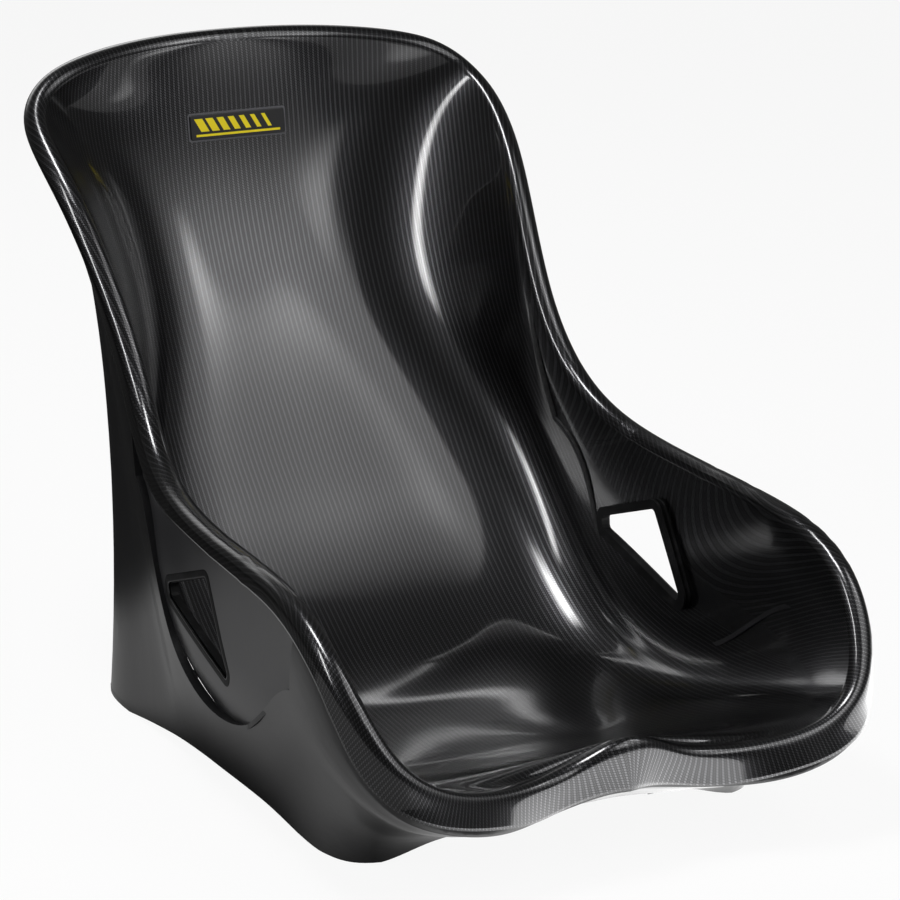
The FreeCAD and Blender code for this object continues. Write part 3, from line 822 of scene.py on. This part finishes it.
# hidden pieces keep their CAD shape and take the finishes above
for node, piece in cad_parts.items():
    if node.startswith(("insert_plate", "captive_nut")):
        finish = zincSteel
    elif "bond" in node:
        finish = blackAdhesive
    else:
        continue
    for spare in piece.material_slots:
        spare.material = finish
    if not piece.material_slots:
        piece.data.materials.append(finish)
print("stage: badge, inserts and adhesive")

studio = {
    "floorTone": 0.85,
    "floorHalf": 6.0,       # m
    "cameraFill": 0.92,     # share of plain white in the floor that the camera sees
    "roomLight": 0.02,
    "roomGloss": 0.08,
    # painted glow in the floor, seen by glossy rays alone: pools of painted light and a painted shadow
    "frontPool": 3.2,       # strengths of the floor's glow, for glossy rays alone
    "awayPool": 2.4,
    "nearPool": 0.36,
    "farFloor": 0.02,
    "frontPlace": (0.62, -0.75, 0.85, 0.70, 0.5),       # middle x, y, half widths, softness
    "awayPlace": (1.7, -2.5, 1.2, 1.2, 0.6),
    # painted shadow under the seat, in the glow that glossy rays see
    "underShadowPlace": (0.0, -0.02, 0.24, 0.34, 0.25),       # dark under the seat
    "nearEnd": (0.40, 0.56),        # y where the near glow fades out behind the feet
}


# the room: white to the camera, dim to shiny paths, dimmer still to all others
def makeRoom():
    world = bpy.data.worlds.new("room")
    bpy.context.scene.world = world
    world.use_nodes = True
    tree = world.node_tree
    start = Value(tree, None)
    seen = start.node("ShaderNodeLightPath")
    gloss = Value(tree, seen.socket.node.outputs["Is Glossy Ray"])
    plain = tree.nodes["Background"]
    plain.inputs["Color"].default_value = (1, 1, 1, 1)
    rest = studio["roomLight"]
    feed(tree, plain.inputs["Strength"], rest + seen * (1 - rest) + gloss * (studio["roomGloss"] - rest))


# the floor is pale with the object's shadow in it; what shines on the object from it is painted light, a
# glow for glossy rays
# alone: a bright painted pool in front, a softer one beside the feet, and painted shadow that leaves little
# from under or behind the seat
def makeFloor():
    material, start, shader = newFinish("paleFloor", {"Roughness": 0.9, "Specular IOR Level": 0.0})
    tree = material.node_tree
    spot, x, y, z = places(start)
    cloud = start.node("ShaderNodeTexNoise", None, {"Vector": spot, "Scale": 3.0, "Detail": 2.0})
    tone = studio["floorTone"]
    feed(tree, shader.inputs["Base Color"], cloud.blend((tone, tone, tone), (tone * 0.985,) * 3))
    seen = start.node("ShaderNodeLightPath")
    gloss = Value(tree, seen.socket.node.outputs["Is Glossy Ray"])
    white = start.node("ShaderNodeEmission", None, {"Color": (1, 1, 1), "Strength": 1.0})

    # one inside an ellipse on the floor, easing to nothing across its edge
    def pool(midX, midY, wideX, wideY, soft):
        px, py = (x - midX) / wideX, (y - midY) / wideY
        return 1 - (px * px + py * py).smoothStep(1 - soft, 1 + soft)

    front = pool(*studio["frontPlace"]) * studio["frontPool"]
    away = pool(*studio["awayPlace"]) * studio["awayPool"]
    near = (1 - y.smoothStep(*studio["nearEnd"])) * (1 - pool(*studio["underShadowPlace"])) * studio["nearPool"]
    glow = start.node("ShaderNodeEmission", None, {
        "Color": (1, 1, 1), "Strength": front.maths("MAXIMUM", front, near) + away + studio["farFloor"]})
    lit = start.node("ShaderNodeMixShader", None, {0: gloss, 1: Value(tree, shader.outputs[0]), 2: glow})
    both = start.node("ShaderNodeMixShader", None, {0: seen * studio["cameraFill"], 1: lit, 2: white})
    tree.links.new(both.socket, tree.nodes["Material Output"].inputs["Surface"])
    half = studio["floorHalf"]
    points = np.array([(-half, -half, 0), (half, -half, 0), (half, half, 0), (-half, half, 0)], float)
    floor = meshPiece("studioFloor", points, np.array([(0, 1, 2, 3)]))
    floor.data.materials.append(material)
    return floor


# a glowing card: full strength in its core, easing to nothing at its edges; the core gives where
# the light starts to fade, as shares of the half width, then of the lower and the upper half
# height; up leans the card, and the camera never sees it
def softCard(name, place, target, size, strength, core=(0.6, 0.3, 0.3), up=(0, 0, 1)):
    material = bpy.data.materials.new(name)
    material.use_nodes = True
    tree = material.node_tree
    start = Value(tree, None)
    uv = start.node("ShaderNodeUVMap", {"uv_map": "cloth"})
    apart = start.node("ShaderNodeSeparateXYZ", None, {0: uv}).socket.node
    across, tall = (Value(tree, apart.outputs[k]) for k in (0, 1))
    fade = 1 - across.size().smoothStep(core[0], 1.0)
    fade = fade * (1 - (tall * -1).smoothStep(core[1], 1.0)) * (1 - tall.smoothStep(core[2], 1.0))
    glow = start.node("ShaderNodeEmission", None, {"Color": (1, 1, 1), "Strength": strength})
    clear = start.node("ShaderNodeBsdfTransparent")
    facing = start.node("ShaderNodeNewGeometry", out=6)
    hidden = facing.maths("MAXIMUM", facing, 1 - fade)      # its back, and what has faded
    both = start.node("ShaderNodeMixShader", None, {0: hidden, 1: glow, 2: clear})
    tree.links.new(both.socket, tree.nodes["Material Output"].inputs["Surface"])
    away = (Vector(place) - Vector(target)).normalized()
    right = Vector(up).cross(away).normalized()
    turn = np.array([right, away.cross(right), away])
    corners = np.array([(-1, -1), (1, -1), (1, 1), (-1, 1)], float)
    flat = np.column_stack([corners * np.array(size) / 2, np.zeros(4)])
    card = meshPiece(name, flat @ turn + np.array(place), np.array([(3, 2, 1, 0)]), corners)
    card.data.materials.append(material)
    card.visible_camera = False
    return card


makeRoom()
makeFloor()
# place, target, size, strength, core and lean of each card; the lean is upright where not given
cards = {
    "panelCard": ((1.0, -1.33, 1.47), (0, 0.28, 0.35), (2.7, 2.3), 1.9,
                  (0.3, -0.2, 0.92), (-0.54, 0.22, 0.81)),
    "hotCard": ((0.72, -0.55, 1.17), (0, 0.28, 0.35), (0.28, 0.8), 7.0,
                (0.05, 0.05, 0.05)),
    "glowCard": ((0.38, -1.65, 1.35), (0.07, 0.33, 0.4), (0.9, 1.3), 3.6,
                 (0.1, 0.1, 0.1)),
    "overCard": ((-0.5, 0.05, 2.45), (0.17, 0.05, 0.08), (0.62, 1.7), 26.0,
                 (0.15, 0.15, 0.15), (0.3, 1, 0)),
    "leftCard": ((-1.7, -0.2, 1.4), (0.17, 0.28, 0.4), (0.34, 1.7), 17.0,
                 (0.1, 0.3, 0.3)),
    "backCard": ((0.1, 2.4, 1.5), (0, 0.2, 0.3), (3.0, 1.5), 1.6,
                 (0.4, 0.2, 0.2)),
}
for name, card in cards.items():
    softCard(name, *card)

view = {
    "azimuth": 28.21,       # degrees the camera stands to the sitter's right of straight ahead
    "elevation": 15.44,
    "distance": 3.1613,
    "across": -0.0002,
    "height": 0.2609,
    "lens": 148.0,
}


# camera looks along w; across and height move it in its own plane
def makeCamera():
    turn, lift = math.radians(view["azimuth"]), math.radians(view["elevation"])
    right = Vector((math.cos(turn), -math.sin(turn), 0))
    up = Vector((math.sin(turn) * math.sin(lift), math.cos(turn) * math.sin(lift), math.cos(lift)))
    away = right.cross(up) * -1
    place = right * view["across"] + up * view["height"] - away * view["distance"]
    lens = bpy.data.cameras.new("seatCamera")
    lens.lens = view["lens"]
    lens.sensor_width = 36.0
    camera = bpy.data.objects.new("seatCamera", lens)
    bpy.context.scene.collection.objects.link(camera)
    turnRows = Matrix((right, up, -away)).transposed().to_4x4()
    camera.matrix_world = Matrix.Translation(place + Vector((0, shell["shiftY"] * mm, 0))) @ turnRows
    bpy.context.scene.camera = camera


makeCamera()
bpy.context.scene.view_settings.view_transform = "Standard"
print("stage: studio")
